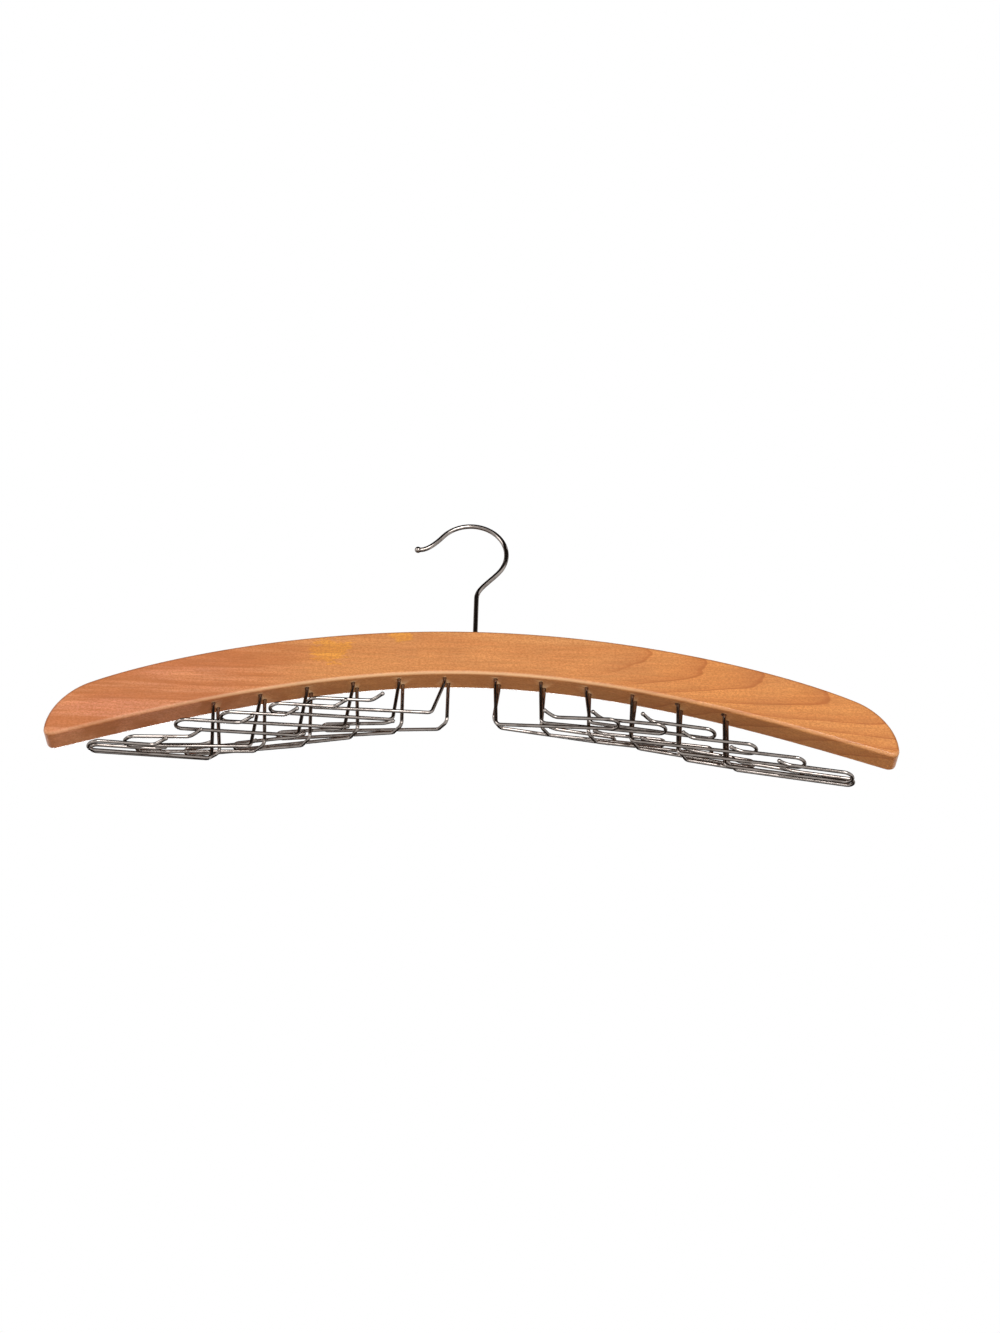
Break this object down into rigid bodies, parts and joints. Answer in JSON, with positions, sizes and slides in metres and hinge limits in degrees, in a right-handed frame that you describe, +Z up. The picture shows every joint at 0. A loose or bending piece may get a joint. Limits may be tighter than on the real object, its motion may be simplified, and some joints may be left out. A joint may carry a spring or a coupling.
{
  "type": "tie hanger",
  "caption": "Curved wooden hanger with a swivelling wire hook and two rows of wire tie arms that swing outward on legs under the board.",
  "frame": {"origin": "the point where the inside top of the hook rests on a rail", "axes": "+Z up, X along the board, -Y towards the front row of arms"},
  "size_m": [0.445, 0.0554, 0.1723],
  "materials": {
    "varnished_wood": "satin varnish",
    "plated_wire": "bright plated",
    "pressed_sleeve": "plain pressed",
    "hook_socket_metal": "plain"
  },
  "bodies": {
    "hook": {"hook": "plated_wire"},
    "board": {"board": "varnished_wood", "hook_socket": "hook_socket_metal", "sleeve_front_right_1": "pressed_sleeve", "sleeve_front_right_2": "pressed_sleeve", "sleeve_front_right_3": "pressed_sleeve", "sleeve_front_right_4": "pressed_sleeve", "sleeve_front_right_5": "pressed_sleeve", "sleeve_front_right_6": "pressed_sleeve", "sleeve_front_left_1": "pressed_sleeve", "sleeve_front_left_2": "pressed_sleeve", "sleeve_front_left_3": "pressed_sleeve", "sleeve_front_left_4": "pressed_sleeve", "sleeve_front_left_5": "pressed_sleeve", "sleeve_front_left_6": "pressed_sleeve", "sleeve_back_right_1": "pressed_sleeve", "sleeve_back_right_2": "pressed_sleeve", "sleeve_back_right_3": "pressed_sleeve", "sleeve_back_right_4": "pressed_sleeve", "sleeve_back_right_5": "pressed_sleeve", "sleeve_back_right_6": "pressed_sleeve", "sleeve_back_left_1": "pressed_sleeve", "sleeve_back_left_2": "pressed_sleeve", "sleeve_back_left_3": "pressed_sleeve", "sleeve_back_left_4": "pressed_sleeve", "sleeve_back_left_5": "pressed_sleeve", "sleeve_back_left_6": "pressed_sleeve"},
    "arm_front_right_1": {"arm_front_right_1": "plated_wire"},
    "arm_front_right_2": {"arm_front_right_2": "plated_wire"},
    "arm_front_right_3": {"arm_front_right_3": "plated_wire"},
    "arm_front_right_4": {"arm_front_right_4": "plated_wire"},
    "arm_front_right_5": {"arm_front_right_5": "plated_wire"},
    "arm_front_right_6": {"arm_front_right_6": "plated_wire"},
    "arm_front_left_1": {"arm_front_left_1": "plated_wire"},
    "arm_front_left_2": {"arm_front_left_2": "plated_wire"},
    "arm_front_left_3": {"arm_front_left_3": "plated_wire"},
    "arm_front_left_4": {"arm_front_left_4": "plated_wire"},
    "arm_front_left_5": {"arm_front_left_5": "plated_wire"},
    "arm_front_left_6": {"arm_front_left_6": "plated_wire"},
    "arm_back_right_1": {"arm_back_right_1": "plated_wire"},
    "arm_back_right_2": {"arm_back_right_2": "plated_wire"},
    "arm_back_right_3": {"arm_back_right_3": "plated_wire"},
    "arm_back_right_4": {"arm_back_right_4": "plated_wire"},
    "arm_back_right_5": {"arm_back_right_5": "plated_wire"},
    "arm_back_right_6": {"arm_back_right_6": "plated_wire"},
    "arm_back_left_1": {"arm_back_left_1": "plated_wire"},
    "arm_back_left_2": {"arm_back_left_2": "plated_wire"},
    "arm_back_left_3": {"arm_back_left_3": "plated_wire"},
    "arm_back_left_4": {"arm_back_left_4": "plated_wire"},
    "arm_back_left_5": {"arm_back_left_5": "plated_wire"},
    "arm_back_left_6": {"arm_back_left_6": "plated_wire"}
  },
  "joints": [
    {"name": "hook_swivel", "type": "hinge", "parent": "hook", "child": "board", "pos_m": [0.004, 0, -0.0751], "axis": [0, 0, 1], "continuous": true},
    {"name": "swing_front_right_1", "type": "hinge", "parent": "board", "child": "arm_front_right_1", "pos_m": [0.0156, -0.0028, -0.10304], "axis": [-0.0087, 0, -1], "range_deg": [-6.1, 78.5]},
    {"name": "swing_front_right_2", "type": "hinge", "parent": "board", "child": "arm_front_right_2", "pos_m": [0.0398, -0.0028, -0.10458], "axis": [-0.0229, 0, -0.9997], "range_deg": [-1.8, 82.8]},
    {"name": "swing_front_right_3", "type": "hinge", "parent": "board", "child": "arm_front_right_3", "pos_m": [0.064, -0.0028, -0.10743], "axis": [-0.0353, 0, -0.9994], "range_deg": [-0.3, 84.3]},
    {"name": "swing_front_right_4", "type": "hinge", "parent": "board", "child": "arm_front_right_4", "pos_m": [0.0882, -0.0028, -0.11143], "axis": [-0.0463, 0, -0.9989], "range_deg": [-2, 82.6]},
    {"name": "swing_front_right_5", "type": "hinge", "parent": "board", "child": "arm_front_right_5", "pos_m": [0.1124, -0.0028, -0.11645], "axis": [-0.0557, 0, -0.9984], "range_deg": [-2.2, 82.4]},
    {"name": "swing_front_right_6", "type": "hinge", "parent": "board", "child": "arm_front_right_6", "pos_m": [0.1366, -0.0028, -0.12236], "axis": [-0.0638, 0, -0.998], "range_deg": [-1.6, 83]},
    {"name": "swing_front_left_1", "type": "hinge", "parent": "board", "child": "arm_front_left_1", "pos_m": [-0.0114, -0.0028, -0.10304], "axis": [-0.0087, 0, 1], "range_deg": [-4.2, 78.4]},
    {"name": "swing_front_left_2", "type": "hinge", "parent": "board", "child": "arm_front_left_2", "pos_m": [-0.0356, -0.0028, -0.10458], "axis": [-0.0229, 0, 0.9997], "range_deg": [-8.1, 74.5]},
    {"name": "swing_front_left_3", "type": "hinge", "parent": "board", "child": "arm_front_left_3", "pos_m": [-0.0598, -0.0028, -0.10743], "axis": [-0.0353, 0, 0.9994], "range_deg": [-8.8, 73.8]},
    {"name": "swing_front_left_4", "type": "hinge", "parent": "board", "child": "arm_front_left_4", "pos_m": [-0.084, -0.0028, -0.11143], "axis": [-0.0463, 0, 0.9989], "range_deg": [-12.3, 70.3]},
    {"name": "swing_front_left_5", "type": "hinge", "parent": "board", "child": "arm_front_left_5", "pos_m": [-0.1082, -0.0028, -0.11645], "axis": [-0.0557, 0, 0.9984], "range_deg": [-10.3, 74.3]},
    {"name": "swing_front_left_6", "type": "hinge", "parent": "board", "child": "arm_front_left_6", "pos_m": [-0.1324, -0.0028, -0.12236], "axis": [-0.0638, 0, 0.998], "range_deg": [-16.9, 67.7]},
    {"name": "swing_back_right_1", "type": "hinge", "parent": "board", "child": "arm_back_right_1", "pos_m": [0.0175, 0.0028, -0.10304], "axis": [0.0087, 0, 1], "range_deg": [-6.2, 81.3]},
    {"name": "swing_back_right_2", "type": "hinge", "parent": "board", "child": "arm_back_right_2", "pos_m": [0.0417, 0.0028, -0.10458], "axis": [0.0229, 0, 0.9997], "range_deg": [-1.3, 86.2]},
    {"name": "swing_back_right_3", "type": "hinge", "parent": "board", "child": "arm_back_right_3", "pos_m": [0.0659, 0.0028, -0.10743], "axis": [0.0353, 0, 0.9994], "range_deg": [-1, 86.5]},
    {"name": "swing_back_right_4", "type": "hinge", "parent": "board", "child": "arm_back_right_4", "pos_m": [0.0901, 0.0028, -0.11143], "axis": [0.0463, 0, 0.9989], "range_deg": [-0.7, 86.8]},
    {"name": "swing_back_right_5", "type": "hinge", "parent": "board", "child": "arm_back_right_5", "pos_m": [0.1143, 0.0028, -0.11645], "axis": [0.0557, 0, 0.9984], "range_deg": [-11, 87]},
    {"name": "swing_back_right_6", "type": "hinge", "parent": "board", "child": "arm_back_right_6", "pos_m": [0.1385, 0.0028, -0.12236], "axis": [0.0638, 0, 0.998], "range_deg": [-11.2, 91.8]},
    {"name": "swing_back_left_1", "type": "hinge", "parent": "board", "child": "arm_back_left_1", "pos_m": [-0.0095, 0.0028, -0.10304], "axis": [0.0087, 0, -1], "range_deg": [-0.6, 86.9]},
    {"name": "swing_back_left_2", "type": "hinge", "parent": "board", "child": "arm_back_left_2", "pos_m": [-0.0337, 0.0028, -0.10458], "axis": [0.0229, 0, -0.9997], "range_deg": [-0.6, 86.9]},
    {"name": "swing_back_left_3", "type": "hinge", "parent": "board", "child": "arm_back_left_3", "pos_m": [-0.0579, 0.0028, -0.10743], "axis": [0.0353, 0, -0.9994], "range_deg": [-2.3, 85.2]},
    {"name": "swing_back_left_4", "type": "hinge", "parent": "board", "child": "arm_back_left_4", "pos_m": [-0.0821, 0.0028, -0.11143], "axis": [0.0463, 0, -0.9989], "range_deg": [-0.6, 86.9]},
    {"name": "swing_back_left_5", "type": "hinge", "parent": "board", "child": "arm_back_left_5", "pos_m": [-0.1063, 0.0028, -0.11645], "axis": [0.0557, 0, -0.9984], "range_deg": [-0.4, 97.1]},
    {"name": "swing_back_left_6", "type": "hinge", "parent": "board", "child": "arm_back_left_6", "pos_m": [-0.1305, 0.0028, -0.12236], "axis": [0.0638, 0, -0.998], "range_deg": [-0.3, 102.7]}
  ]
}
